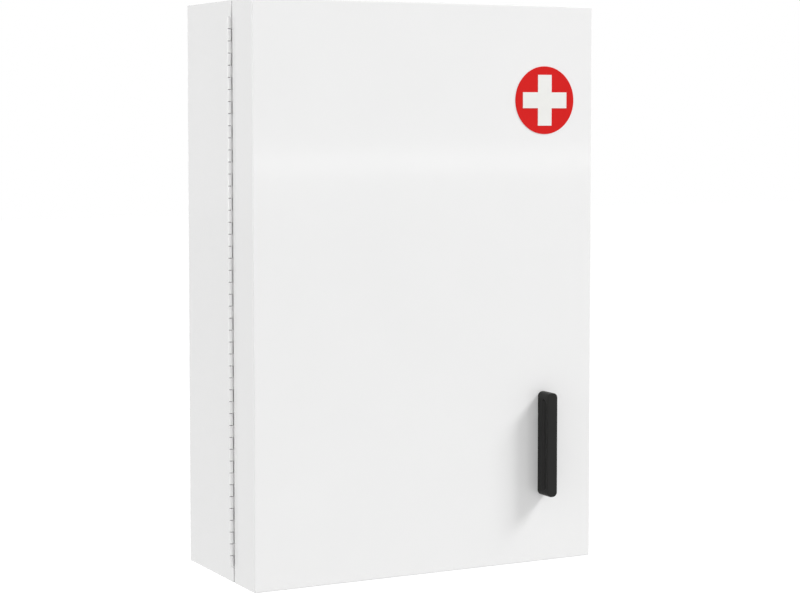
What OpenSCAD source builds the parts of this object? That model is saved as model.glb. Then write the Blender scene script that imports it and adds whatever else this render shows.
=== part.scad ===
// Lockable wall medicine cabinet: a folded steel case, a deep pan door on a
// full-length piano hinge, a hook-cam lock in the door's side, two shelves on
// slotted rails and three door trays.
// Origin: centre of the four wall holes, on the wall plane. +X is to the right
// seen from the front, +Y runs into the wall and +Z is up.

/* [Cabinet] */
// Width over the case and the door
cabinet_w = 400; // [360:1:600]
// Height over the case and the door
cabinet_h = 600; // [560:1:900]
// Depth of the case, from the wall to its front flange
case_depth = 122; // [100:1:200]
// Depth of the door pan
door_depth = 52; // [46:1:80]
// Gap between the case and the closed door
door_gap = 3; // [2.8:0.1:4]
// Thickness of the steel sheet
sheet_t = 1.2; // [0.8:0.1:1.4]
// Outer radius of the folded edges
bend_r = 1.5; // [1.5:0.1:3]
// Width of the front flange of the case and of the return flange of the door
flange_w = 18; // [17:1:24]

/* [Back panel] */
// Width of the case's rear flanges
rear_flange_w = 15; // [8:1:30]
// Margin between the case's outline and the back panel
back_margin = 2; // [1:0.5:6]
// Corner radius of the back panel
back_corner_r = 4; // [1:0.5:10]
// Diameter of the wall holes
wall_hole_d = 7; // [5:0.5:10]
// Distance of the wall holes from the case's sides
wall_hole_side = 50; // [30:1:80]
// Distance of the wall holes from the case's top and bottom
wall_hole_end = 50; // [30:1:80]

/* [Hinge] */
// Number of knuckles on both leaves together
hinge_knuckles = 46; // [30:2:60]
// Distance of the hinge's ends from the top and bottom
hinge_end = 17; // [10:1:40]
// Outer diameter of the knuckles
barrel_d = 4.6; // [4.2:0.1:5]
// Gap between the barrel and the side face of the cabinet
barrel_side_gap = 0.2; // [0.2:0.1:1]
// Thickness of the hinge leaves
leaf_t = 1; // [0.8:0.1:1.2]
// Width of the flat part of each leaf
leaf_w = 14; // [10:0.5:16]
// Gap between neighbouring knuckles
knuckle_gap = 0.5; // [0.3:0.1:1]
// Radial clearance of the pin in the knuckles
pin_clearance = 0.05; // [0.02:0.01:0.08]

/* [Shelves] */
// Rail slot that carries the lower shelf, counted from the bottom
lower_slot = 5; // [4:1:6]
// Rail slot that carries the upper shelf, counted from the bottom
upper_slot = 12; // [9:1:15]
// Spacing of the rail slots
slot_pitch = 25; // [20:1:30]
// Height of a rail slot
slot_h = 3; // [2.5:0.5:5]
// Width of a rail slot
slot_w = 8; // [6:0.5:10]
// Width of a rail
rail_w = 16; // [14:0.5:20]
// Depth of a rail, from the side wall to its face
rail_depth = 4; // [3.5:0.5:8]
// Sheet thickness of the rails
rail_t = 1; // [0.8:0.1:1.4]
// Sheet thickness of the clips
clip_t = 1; // [0.8:0.1:1.4]
// Sheet thickness of the shelves
shelf_t = 1; // [0.8:0.1:1.4]
// Distance of the rails' ends from the top and bottom walls
rail_end = 30; // [20:1:35]
// Distance of the rear rails' centres from the wall plane
rear_rail_from_wall = 30; // [20:1:36]
// Distance of the front rails' centres from the shelves' front edge
front_rail_inset = 16; // [14:1:24]
// Distance of the shelves' rear edge from the wall plane
shelf_from_wall = 5; // [4:1:12]
// Gap between a shelf and the rails
shelf_side_gap = 1.3; // [0.5:0.1:3]
// Gap between the shelves' front edge and the locked cam
shelf_cam_gap = 2; // [1:0.5:10]
// Height of a shelf's turned-down lip
shelf_lip_h = 15; // [10:1:25]
// Width of the shelf's return under its front lip
shelf_return_w = 8; // [5:1:12]
// Width of a clip's ledge along the rail's face
clip_w = 12; // [9:0.5:13]
// Length of a clip's ledge under the shelf
clip_ledge = 11; // [6:1:16]
// Height of a clip's plate on the rail
clip_h = 12; // [8:1:16]
// Clearance of the clip's hook in its slot
clip_clearance = 0.5; // [0.2:0.1:0.8]
// Height of the clip's hook behind the rail's face
clip_hook_h = 6; // [4:0.5:10]

/* [Door trays] */
// Height of the lowest tray's floor above the cabinet's bottom
lower_tray_up = 10; // [8:1:40]
// Height of the middle tray's floor above the cabinet's bottom
middle_tray_up = 200; // [150:1:240]
// Height of the highest tray's floor above the cabinet's bottom
upper_tray_up = 380; // [330:1:420]
// Height of a tray's back on the door
tray_back_h = 60; // [45:1:80]
// Height of a tray's front lip
tray_lip_h = 32; // [20:1:40]
// Gap between a tray's lip and the plane of the door's return flange
tray_rear_gap = 6; // [5:0.5:12]
// Gap between the trays and the hinge side of the door's opening
tray_hinge_gap = 8; // [4:1:30]
// Gap between the trays and the handle's centre line
tray_handle_gap = 14; // [10:1:30]
// Sheet thickness of the trays
tray_t = 1; // [0.8:0.1:1.2]
// Outer radius of a tray's folds
tray_bend_r = 2; // [1.5:0.5:4]

/* [Handle] */
// Distance of the handle's centre line from the door's free edge
handle_from_edge = 60.6; // [45:0.1:90]
// Height of the handle's centre above the cabinet's bottom
handle_up = 129.1; // [100:0.1:200]
// Length of the handle
handle_len = 112.5; // [80:0.5:160]
// Width of the handle
handle_w = 12.2; // [11:0.1:18]
// How far the handle stands out of the door
handle_out = 20.7; // [15:0.1:26]
// Corner radius of the handle's outline
handle_corner_r = 5.2; // [2:0.1:5.4]
// Radius of the edges round the handle's front face
handle_edge_r = 1; // [0.8:0.1:2.5]
// Radius of the finger scoops
scoop_r = 7; // [6:0.5:10]
// Depth of the finger scoops
scoop_depth = 2.2; // [1:0.1:2.6]
// Distance of the scoops' ends from the handle's ends
scoop_end = 6.5; // [5:0.5:12]
// Thickness of the lip in front of the scoops
scoop_lip = 2.6; // [2:0.1:3.5]
// Distance of the handle's screws from its ends
handle_screw_end = 7.25; // [6:0.25:12]
// Diameter of the handle's screws
handle_screw_d = 4; // [3:0.5:5]
// Head diameter of the handle's screws
handle_head_d = 8; // [7:0.5:9]
// Head height of the handle's screws
handle_head_h = 2.6; // [2:0.1:4]
// Radial clearance of the screws in their holes
screw_clearance = 0.2; // [0.1:0.05:0.5]
// Depth of the screw holes in the handle
handle_hole_depth = 12; // [8:1:14]
// Length by which the screws end short of their holes' floors
screw_short = 1; // [0.5:0.5:3]
// Outer diameter of the screws' washers
washer_d = 10; // [9.5:0.5:14]
// Thickness of the washers
washer_t = 1; // [0.8:0.1:1.6]

/* [First-aid sign] */
// Diameter of the red disc
disc_d = 72.5; // [50:0.5:110]
// Thickness of the disc
disc_t = 0.5; // [0.4:0.1:1.5]
// Distance of the disc's centre from the door's free edge
disc_from_edge = 60; // [56:1:90]
// Distance of the disc's centre from the cabinet's top
disc_from_top = 101; // [60:1:140]
// Distance of the cross's tips from the disc's edge, along the arms
cross_margin = 9.1; // [5:0.1:14]
// Width of the cross's arms
cross_arm = 17; // [10:0.1:20]
// Thickness of the cross on the disc
cross_t = 0.3; // [0.2:0.1:1]

/* [Lock] */
// Height of the lock's axis above the cabinet's bottom
lock_up = 129.4; // [100:0.1:200]
// Distance of the lock's axis from the door's rear plane
lock_setback = 16; // [14:0.5:20]
// Diameter of the lock's housing
lock_d = 16; // [14:0.5:17]
// Distance between the flats of the housing
lock_flats = 14; // [12:0.5:13.5]
// Clearance between the housing and the hole in the door
lock_hole_gap = 0.15; // [0.1:0.05:0.4]
// Diameter of the lock's bezel
bezel_d = 20; // [19:0.5:24]
// Thickness of the bezel
bezel_t = 2; // [1.5:0.1:3]
// Depth of the plug's face below the bezel's
plug_recess = 0.4; // [0.2:0.1:1]
// Across-flats size of the lock's nut
nut_af = 19; // [18.5:0.5:21]
// Thickness of the nut
nut_t = 4; // [3:0.5:6]
// Diameter of the plug
plug_d = 10; // [9:0.5:11]
// Radial clearance of the plug in the housing
plug_clearance = 0.05; // [0.02:0.01:0.1]
// Width of the keyway
keyway_w = 1.6; // [1.2:0.1:2.4]
// Height of the keyway
keyway_h = 7; // [6:0.5:8]
// Depth of the keyway
keyway_depth = 12; // [8:0.5:12]
// Gap between the cam and the housing, and between the cam and the flanges' edge
cam_gap = 0.6; // [0.4:0.1:1.5]
// Thickness of the cam
cam_t = 2; // [1.5:0.1:3]
// Radius of the cam's hub
cam_hub_r = 9; // [7:0.5:10]
// Width of the cam's shank
cam_shank_w = 7; // [6:0.5:10]
// Radial width of the hook
hook_w = 4.5; // [3:0.5:6]
// Angle from the shank's centre line to the hook's tip
hook_angle = 16; // [14:1:22]
// Side of the square on the plug's end
drive_w = 6; // [5:0.5:6.5]
// Clearance of the square in the cam
drive_clearance = 0.1; // [0.05:0.05:0.3]
// Diameter of the cam's screw
cam_screw_d = 4; // [3:0.5:4.5]
// Head diameter of the cam's screw
cam_head_d = 8.5; // [8:0.5:11]
// Head height of the cam's screw
cam_head_h = 2.4; // [2:0.1:3]
// Depth of the cam screw's hole in the plug
cam_hole_depth = 10; // [6:1:10]
// Gap between the lock keeper and the hook behind it
hook_gap = 3.5; // [3:0.5:6]
// Gap between the keeper's lower edge and the locked cam's shank
keeper_gap = 0.5; // [0.3:0.1:1.5]
// Distance of the keeper from the case's front face
keeper_setback = 4; // [3:0.5:8]
// Thickness of the keeper
keeper_t = 2; // [1.5:0.1:3]
// Height of the keeper
keeper_h = 14; // [10:1:20]
// Length of the keeper's foot on the side wall
keeper_foot = 16; // [10:1:17]
// How far the keeper reaches past the cam
keeper_reach = 4; // [3:0.5:8]

/* [Catch and buffers] */
// Distance of the magnetic catch from the cabinet's top
catch_from_top = 80; // [60:1:140]
// Width of the catch's body
catch_w = 9; // [8:0.5:10]
// Height of the catch's body
catch_h = 34; // [26:1:44]
// Depth of the catch's body behind the flange
catch_depth = 13; // [10:1:14]
// Width of the rim round the catch's body
catch_rim = 2; // [1.5:0.1:3]
// Thickness of the catch's rim
catch_rim_t = 1.2; // [1:0.1:1.6]
// Clearance between the catch and its opening in the flange
catch_clearance = 0.15; // [0.1:0.05:0.4]
// Gap between the pole plates and the closed door, and between it and the buffers
contact_gap = 0.3; // [0.2:0.05:0.5]
// Thickness of each pole plate
pole_t = 1.6; // [1:0.1:2]
// Thickness of the magnet
magnet_t = 3; // [2:0.1:3.2]
// Depth of the magnet's face below the pole plates' edges
magnet_recess = 1; // [0.5:0.1:2]
// Diameter of a buffer's head
buffer_d = 9; // [7:0.5:12]
// Diameter of a buffer's neck
buffer_neck_d = 5; // [4:0.5:6]
// Diameter of the bulge behind the flange
buffer_bulge_d = 6.4; // [6.2:0.1:6.8]
// Length of the bulge behind the flange
buffer_bulge_h = 2; // [1.5:0.1:3]
// Width of the chamfer round a buffer's head
buffer_chamfer = 0.6; // [0.3:0.1:1]
// Distance of the buffers from the top and bottom, on the lock side
buffer_end = 30; // [25:1:50]
// Distance of the buffers on the top and bottom flanges from the hinge side
buffer_side = 60; // [30:1:90]

/* [Hidden] */
$fn = 64;

white_paint = [0.93, 0.93, 0.92];
black_plastic = [0.16, 0.16, 0.15];
sign_red = [0.86, 0.14, 0.14];
sign_white = [0.96, 0.96, 0.95];
zinc = [0.72, 0.73, 0.74];
chrome = [0.82, 0.83, 0.85];
dark_steel = [0.45, 0.45, 0.47];
rubber_grey = [0.35, 0.35, 0.36];
magnet_grey = [0.25, 0.25, 0.27];

// Length by which a cutting solid passes a face that it opens
over = 1;

// Planes across Y, from the wall to the handle
case_back_y = -sheet_t;
case_front_y = -case_depth;
door_back_y = case_front_y - door_gap;
door_front_y = door_back_y - door_depth;
handle_front_y = door_front_y - handle_out;

// Outer planes and the clear opening inside the flanges
side_x = cabinet_w / 2;
top_z = cabinet_h / 2;
inner_x = side_x - sheet_t;
inner_z = top_z - sheet_t;
open_x = inner_x - flange_w;
open_z = inner_z - flange_w;
flange_mid_x = inner_x - flange_w / 2;
flange_mid_z = inner_z - flange_w / 2;

// Hinge
hinge_len = cabinet_h - 2 * hinge_end;
knuckle_pitch = hinge_len / hinge_knuckles;
hinge_x = -side_x - barrel_side_gap - barrel_d / 2;
hinge_y = case_front_y - door_gap / 2;
hinge_bore_d = barrel_d - 2 * leaf_t;
hinge_pin_d = hinge_bore_d - 2 * pin_clearance;

// Lock
lock_z = -top_z + lock_up;
lock_y = door_back_y - lock_setback;
cam_outer_x = open_x - cam_gap;
cam_inner_x = cam_outer_x - cam_t;
barrel_end_x = cam_outer_x + cam_gap;
hook_inner_r = lock_setback + door_gap + keeper_setback + keeper_t + hook_gap;
hook_outer_r = hook_inner_r + hook_w;
keeper_front_y = case_front_y + keeper_setback;
keeper_low_z = lock_z + cam_shank_w / 2 + keeper_gap;

// Shelves, rails and clips
shelf_front_y = lock_y + hook_outer_r + shelf_cam_gap;
rail_face_x = inner_x - rail_depth;
rail_half = inner_z - rail_end;
shelf_half_w = rail_face_x - shelf_side_gap;
front_rail_y = shelf_front_y + front_rail_inset;
rear_rail_y = -rear_rail_from_wall;
slot_count = floor((2 * rail_half - slot_pitch) / slot_pitch) + 1;
function slot_z(i) = -rail_half + slot_pitch / 2 + i * slot_pitch;
function shelf_seat_z(i) = slot_z(i) + slot_h / 2;

// Door trays
handle_x = side_x - handle_from_edge;
handle_z = -top_z + handle_up;
handle_screw_dz = handle_len / 2 - handle_screw_end;
door_inner_y = door_front_y + sheet_t;
tray_x0 = -open_x + tray_hinge_gap;
tray_x1 = handle_x - tray_handle_gap;
tray_lip_y = door_back_y - tray_rear_gap;

// First-aid sign
disc_x = side_x - disc_from_edge;
disc_z = top_z - disc_from_top;
cross_span = disc_d - 2 * cross_margin;

// Catch
catch_z = top_z - catch_from_top;
catch_front_y = door_back_y + contact_gap;
buffer_points = [
    [flange_mid_x, top_z - buffer_end], [flange_mid_x, -top_z + buffer_end],
    [-side_x + buffer_side, flange_mid_z], [-side_x + buffer_side, -flange_mid_z]
];

// A box given by its lowest and its highest corner
module block(low, high) {
    translate(low) cube(high - low);
}

// Extrudes a flat shape along an axis. Across X its axes are Y and Z, across Y
// they are X and Z.
module along_x(x0, x1) {
    translate([x0, 0, 0]) rotate([90, 0, 90]) linear_extrude(x1 - x0) children();
}

module along_y(y0, y1) {
    translate([0, y1, 0]) rotate([90, 0, 0]) linear_extrude(y1 - y0) children();
}

module along_z(z0, z1) {
    translate([0, 0, z0]) linear_extrude(z1 - z0) children();
}

// A rectangle with round corners, given by its lowest and highest corner
module rounded_rect(low, high, r) {
    translate([low.x + r, low.y]) square([high.x - low.x - 2 * r, high.y - low.y]);
    translate([low.x, low.y + r]) square([high.x - low.x, high.y - low.y - 2 * r]);
    for (x = [low.x + r, high.x - r], y = [low.y + r, high.y - r])
        translate([x, y]) circle(r);
}

// A box whose twelve edges are round
module rounded_block(low, high, r) {
    intersection() {
        along_x(low.x, high.x) rounded_rect([low.y, low.z], [high.y, high.z], r);
        along_y(low.y, high.y) rounded_rect([low.x, low.z], [high.x, high.z], r);
        along_z(low.z, high.z) rounded_rect([low.x, low.y], [high.x, high.y], r);
    }
}

// A bar with ball ends, along Z and centred
module capsule(r, length) {
    cylinder(r = r, h = length - 2 * r, center = true);
    for (end = [-1, 1]) translate([0, 0, end * (length / 2 - r)]) sphere(r);
}

// Case ------------------------------------------------------------------

module case_shell() {
    color(white_paint) difference() {
        rounded_block([-side_x, case_front_y, -top_z], [side_x, case_back_y, top_z], bend_r);
        block(
            [-inner_x, case_front_y + sheet_t, -inner_z],
            [inner_x, case_back_y - sheet_t, inner_z]
        );
        block([-open_x, case_front_y - over, -open_z], [open_x, -case_depth / 2, open_z]);
        rear_opening();
        catch_opening();
        for (point = buffer_points)
            along_y(case_front_y - over, case_front_y + sheet_t + over)
                translate(point) circle(d = buffer_neck_d);
    }
}

module rear_opening() {
    x = side_x - rear_flange_w;
    z = top_z - rear_flange_w;
    block([-x, -case_depth / 2, -z], [x, over, z]);
}

module catch_opening() {
    w = catch_w / 2 + catch_clearance;
    h = catch_h / 2 + catch_clearance;
    block(
        [flange_mid_x - w, case_front_y - over, catch_z - h],
        [flange_mid_x + w, case_front_y + sheet_t + over, catch_z + h]
    );
}

module back_panel() {
    x = side_x - back_margin;
    z = top_z - back_margin;
    color(white_paint) along_y(case_back_y, 0) difference() {
        rounded_rect([-x, -z], [x, z], back_corner_r);
        for (sx = [-1, 1], sz = [-1, 1])
            translate([sx * (side_x - wall_hole_side), sz * (top_z - wall_hole_end)])
                circle(d = wall_hole_d);
    }
}

// A slotted channel on the right side wall, centred at y
module rail(y) {
    half = rail_w / 2;
    difference() {
        block([rail_face_x, y - half, -rail_half], [inner_x, y + half, rail_half]);
        block(
            [rail_face_x + rail_t, y - half + rail_t, -rail_half - over],
            [inner_x + over, y + half - rail_t, rail_half + over]
        );
        for (i = [0 : slot_count - 1])
            translate([rail_face_x, y, slot_z(i)])
                cube([3 * rail_t, slot_w, slot_h], center = true);
    }
}

module shelf_rails() {
    color(white_paint)
        for (side = [0, 1]) mirror([side, 0, 0]) {
            rail(front_rail_y);
            rail(rear_rail_y);
        }
}

// A folded shelf whose lips stand on the clips in rail slot i
module shelf(i) {
    seat = shelf_seat_z(i);
    deck = seat + shelf_lip_h;
    front = shelf_front_y;
    back = -shelf_from_wall;
    color(white_paint) difference() {
        rounded_block([-shelf_half_w, front, seat], [shelf_half_w, back, deck], shelf_t);
        block(
            [-shelf_half_w + shelf_t, front + shelf_t, seat + shelf_t],
            [shelf_half_w - shelf_t, back - shelf_t, deck - shelf_t]
        );
        block(
            [-shelf_half_w + shelf_t, front + shelf_return_w, seat - over],
            [shelf_half_w - shelf_t, back - shelf_t, deck - shelf_t]
        );
    }
}

module shelf_lower() {
    shelf(lower_slot);
}

module shelf_upper() {
    shelf(upper_slot);
}

// A clip on the right side: a ledge under the shelf, a plate on the rail's face
// and a hook through the slot
module clip(y, i) {
    seat = shelf_seat_z(i);
    half = clip_w / 2;
    hook_top = slot_z(i) + slot_h / 2 - clip_clearance;
    hook_half = slot_w / 2 - clip_clearance;
    front_x = rail_face_x - clip_t;
    hook_x = rail_face_x + rail_t + clip_clearance;
    block([rail_face_x - clip_ledge, y - half, seat - clip_t], [rail_face_x, y + half, seat]);
    block([front_x, y - half, seat - clip_h], [rail_face_x, y + half, seat]);
    block([front_x, y - hook_half, hook_top - clip_t], [hook_x + clip_t, y + hook_half, hook_top]);
    block([hook_x, y - hook_half, hook_top - clip_hook_h], [hook_x + clip_t, y + hook_half, hook_top]);
}

module shelf_clips() {
    color(zinc)
        for (side = [0, 1], y = [front_rail_y, rear_rail_y], i = [lower_slot, upper_slot])
            mirror([side, 0, 0]) clip(y, i);
}

// Hinge -----------------------------------------------------------------

// One leaf between the planes y0 and y1, with every second knuckle from first on
module hinge_leaf(first, y0, y1) {
    difference() {
        union() {
            block([-side_x, y0, -hinge_len / 2], [-side_x + leaf_w, y1, hinge_len / 2]);
            for (i = [first : 2 : hinge_knuckles - 1]) knuckle(i, y0, y1);
        }
        translate([hinge_x, hinge_y, 0])
            cylinder(d = hinge_bore_d, h = hinge_len + 2 * over, center = true);
    }
}

module knuckle(i, y0, y1) {
    low = -hinge_len / 2 + i * knuckle_pitch + knuckle_gap / 2;
    along_z(low, low + knuckle_pitch - knuckle_gap) {
        translate([hinge_x, hinge_y]) circle(d = barrel_d);
        translate([hinge_x, y0]) square([-side_x - hinge_x + leaf_w / 2, y1 - y0]);
    }
}

module hinge_leaf_case() {
    color(white_paint) hinge_leaf(0, case_front_y - leaf_t, case_front_y);
}

module hinge_leaf_door() {
    color(white_paint) hinge_leaf(1, door_back_y, door_back_y + leaf_t);
}

module hinge_pin() {
    color(zinc) translate([hinge_x, hinge_y, 0])
        cylinder(d = hinge_pin_d, h = hinge_len, center = true);
}

// Door ------------------------------------------------------------------

module door_pan() {
    color(white_paint) difference() {
        rounded_block([-side_x, door_front_y, -top_z], [side_x, door_back_y, top_z], bend_r);
        block(
            [-inner_x, door_inner_y, -inner_z],
            [inner_x, door_back_y - sheet_t, inner_z]
        );
        block(
            [-open_x, door_back_y - door_depth / 2, -open_z],
            [open_x, door_back_y + over, open_z]
        );
        along_x(inner_x - over, side_x + over)
            translate([lock_y, lock_z]) lock_section(lock_hole_gap);
        handle_screw_places()
            cylinder(d = handle_screw_d + 2 * screw_clearance, h = 4 * sheet_t, center = true);
    }
}

// Puts its children at the two handle screws, on the door's outer face and with
// +Z pointing into the door
module handle_screw_places() {
    for (end = [-1, 1])
        translate([handle_x, door_front_y, handle_z + end * handle_screw_dz])
            rotate([-90, 0, 0]) children();
}

module handle() {
    x0 = handle_x - handle_w / 2;
    x1 = handle_x + handle_w / 2;
    z0 = handle_z - handle_len / 2;
    z1 = handle_z + handle_len / 2;
    behind_y = door_front_y + handle_out;
    color(black_plastic) difference() {
        intersection() {
            along_y(handle_front_y, door_front_y)
                rounded_rect([x0, z0], [x1, z1], handle_corner_r);
            along_x(x0, x1) rounded_rect([handle_front_y, z0], [behind_y, z1], handle_edge_r);
            along_z(z0, z1) rounded_rect([x0, handle_front_y], [x1, behind_y], handle_edge_r);
        }
        for (side = [-1, 1]) finger_scoop(side);
        handle_screw_places()
            translate([0, 0, -handle_hole_depth])
                cylinder(d = handle_screw_d + 2 * screw_clearance, h = handle_hole_depth + over);
    }
}

// The hollow in one side of the handle, behind its front lip
module finger_scoop(side) {
    half_chord = sqrt(pow(scoop_r, 2) - pow(scoop_r - scoop_depth, 2));
    translate([
        handle_x + side * (handle_w / 2 + scoop_r - scoop_depth),
        handle_front_y + scoop_lip + half_chord,
        handle_z
    ])
        capsule(scoop_r, handle_len - 2 * scoop_end + 2 * (scoop_r - half_chord));
}

module handle_screws() {
    head_z = sheet_t + washer_t;
    color(zinc) handle_screw_places() {
        translate([0, 0, screw_short - handle_hole_depth])
            cylinder(d = handle_screw_d, h = handle_hole_depth - screw_short + head_z);
        translate([0, 0, head_z]) cylinder(d = handle_head_d, h = handle_head_h);
    }
}

module handle_washers() {
    color(zinc) handle_screw_places()
        translate([0, 0, sheet_t]) difference() {
            cylinder(d = washer_d, h = washer_t);
            translate([0, 0, -over])
                cylinder(d = handle_screw_d + 2 * screw_clearance, h = washer_t + 2 * over);
        }
}

module first_aid_disc() {
    color(sign_red) along_y(door_front_y - disc_t, door_front_y)
        translate([disc_x, disc_z]) circle(d = disc_d);
}

module first_aid_cross() {
    color(sign_white) along_y(door_front_y - disc_t - cross_t, door_front_y - disc_t)
        translate([disc_x, disc_z]) {
            square([cross_span, cross_arm], center = true);
            square([cross_arm, cross_span], center = true);
        }
}

// The side view of a tray, set in by t from its walls and open above
module tray_side(t, top) {
    back = door_inner_y + t;
    lip = tray_lip_y - t;
    r = max(tray_bend_r - t, 0.2);
    intersection() {
        polygon([[back, t], [lip, t], [lip, tray_lip_h + top], [back, tray_back_h + top]]);
        rounded_rect([back - 2 * r, t], [lip, 2 * tray_back_h + top], r);
    }
}

// A folded tray whose floor lies up above the cabinet's bottom
module door_tray(up) {
    color(white_paint) translate([0, 0, -top_z + up]) difference() {
        along_x(tray_x0, tray_x1) tray_side(0, 0);
        along_x(tray_x0 + tray_t, tray_x1 - tray_t) tray_side(tray_t, tray_back_h);
    }
}

module door_tray_lower() {
    door_tray(lower_tray_up);
}

module door_tray_middle() {
    door_tray(middle_tray_up);
}

module door_tray_upper() {
    door_tray(upper_tray_up);
}

// Lock ------------------------------------------------------------------

// The housing's cross-section, a circle with two flats, grown by a gap
module lock_section(gap) {
    intersection() {
        circle(d = lock_d + 2 * gap);
        square([lock_d + 2 * over, lock_flats + 2 * gap], center = true);
    }
}

// Puts its children on the lock's axis, with their +Z along +X from plane x
module on_lock_axis(x) {
    translate([x, lock_y, lock_z]) rotate([90, 0, 90]) children();
}

module lock_barrel() {
    bore = plug_d + 2 * plug_clearance;
    rim_r = min(bezel_t / 2, (bezel_d - bore) / 4);
    color(chrome) difference() {
        union() {
            on_lock_axis(barrel_end_x)
                linear_extrude(side_x - barrel_end_x + over / 2) lock_section(0);
            on_lock_axis(side_x) rotate_extrude() {
                square([bezel_d / 2, bezel_t - rim_r]);
                square([bezel_d / 2 - rim_r, bezel_t]);
                translate([bezel_d / 2 - rim_r, bezel_t - rim_r]) circle(rim_r);
            }
        }
        on_lock_axis(barrel_end_x - over)
            cylinder(d = bore, h = side_x - barrel_end_x + bezel_t + 2 * over);
    }
}

module lock_nut() {
    color(zinc) on_lock_axis(inner_x - nut_t) difference() {
        cylinder(d = nut_af / cos(30), h = nut_t, $fn = 6);
        translate([0, 0, -over]) cylinder(d = lock_d + 2 * lock_hole_gap, h = nut_t + 2 * over);
    }
}

module lock_plug() {
    face_x = side_x + bezel_t - plug_recess;
    color(chrome) difference() {
        union() {
            on_lock_axis(cam_outer_x) cylinder(d = plug_d, h = face_x - cam_outer_x);
            on_lock_axis(cam_inner_x)
                linear_extrude(cam_t + over) square(drive_w, center = true);
        }
        on_lock_axis(face_x - keyway_depth)
            linear_extrude(keyway_depth + over) square([keyway_w, keyway_h], center = true);
        on_lock_axis(cam_inner_x - over)
            cylinder(d = cam_screw_d + 2 * screw_clearance, h = cam_hole_depth + over);
    }
}

// At rest the cam points down and the door opens; turned by 90 degrees it points
// back and its hook lies behind the keeper
module lock_cam() {
    hook_low = asin(cam_shank_w / 2 / hook_outer_r);
    color(zinc) on_lock_axis(cam_inner_x) rotate(-90) linear_extrude(cam_t) difference() {
        union() {
            circle(cam_hub_r);
            translate([0, -cam_shank_w / 2])
                square([hook_inner_r + hook_w / 2, cam_shank_w]);
            intersection() {
                difference() {
                    circle(hook_outer_r);
                    circle(hook_inner_r);
                }
                rotate(-hook_low) sector(hook_low + hook_angle);
            }
        }
        square(drive_w + 2 * drive_clearance, center = true);
    }
}

// The part of the plane between the X axis and a line at the given angle
module sector(angle) {
    far = 2 * hook_outer_r;
    polygon([[0, 0], [far, 0], [far, far * tan(angle)]]);
}

module cam_screw() {
    color(zinc) on_lock_axis(cam_inner_x - cam_head_h) {
        cylinder(d = cam_head_d, h = cam_head_h);
        cylinder(d = cam_screw_d, h = cam_head_h + cam_hole_depth - screw_short);
    }
}

module lock_keeper() {
    high = keeper_low_z + keeper_h;
    color(zinc) {
        block(
            [cam_inner_x - keeper_reach, keeper_front_y, keeper_low_z],
            [inner_x, keeper_front_y + keeper_t, high]
        );
        block(
            [inner_x - keeper_t, keeper_front_y, keeper_low_z],
            [inner_x, keeper_front_y + keeper_foot, high]
        );
    }
}

// Catch and buffers -------------------------------------------------------

// A box of the catch's cross-section, centred on it and grown by margin
module catch_block(margin_x, margin_z, y0, y1) {
    block(
        [flange_mid_x - margin_x, y0, catch_z - margin_z],
        [flange_mid_x + margin_x, y1, catch_z + margin_z]
    );
}

module catch_housing() {
    pocket_x = magnet_t / 2 + pole_t;
    color(black_plastic) difference() {
        union() {
            catch_block(
                catch_w / 2 + catch_rim, catch_h / 2 + catch_rim,
                case_front_y - catch_rim_t, case_front_y
            );
            catch_block(
                catch_w / 2, catch_h / 2, case_front_y - catch_rim_t / 2, case_front_y + catch_depth
            );
        }
        catch_block(
            pocket_x, catch_h / 2 - catch_rim,
            case_front_y - catch_rim_t - over, case_front_y + catch_depth - catch_rim_t
        );
    }
}

module catch_magnet() {
    color(magnet_grey) catch_block(
        magnet_t / 2, catch_h / 2 - catch_rim,
        catch_front_y + magnet_recess, case_front_y + catch_depth - catch_rim_t
    );
}

module catch_poles() {
    color(dark_steel)
        for (side = [-1, 1]) translate([side * (magnet_t + pole_t) / 2, 0, 0])
            catch_block(
                pole_t / 2, catch_h / 2 - catch_rim,
                catch_front_y, case_front_y + catch_depth - catch_rim_t
            );
}

module door_buffers() {
    head = door_gap - contact_gap;
    color(rubber_grey)
        for (point = buffer_points)
            translate([point.x, case_front_y, point.y]) rotate([90, 0, 0]) {
                cylinder(d = buffer_d, h = head - buffer_chamfer);
                translate([0, 0, head - buffer_chamfer])
                    cylinder(d1 = buffer_d, d2 = buffer_d - 2 * buffer_chamfer, h = buffer_chamfer);
                translate([0, 0, -sheet_t]) cylinder(d = buffer_neck_d, h = sheet_t);
                translate([0, 0, -sheet_t - buffer_bulge_h])
                    cylinder(d1 = buffer_neck_d, d2 = buffer_bulge_d, h = buffer_bulge_h);
            }
}

case_shell();
back_panel();
shelf_rails();
shelf_lower();
shelf_upper();
shelf_clips();
hinge_leaf_case();
hinge_pin();
lock_keeper();
catch_housing();
catch_magnet();
catch_poles();
door_buffers();
door_pan();
hinge_leaf_door();
handle();
handle_screws();
handle_washers();
first_aid_disc();
first_aid_cross();
door_tray_lower();
door_tray_middle();
door_tray_upper();
lock_barrel();
lock_nut();
lock_plug();
lock_cam();
cam_screw();
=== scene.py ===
"""Looks of the lockable medicine cabinet: its finishes, its dressed pieces and the studio.

Every length is in metres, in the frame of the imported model: the origin is the
centre of the four wall holes on the wall plane, +X is to the right seen from
the front, +Y runs into the wall and +Z is up.
"""

import logging
import math
from collections.abc import Callable
from dataclasses import dataclass
from enum import Enum

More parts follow.
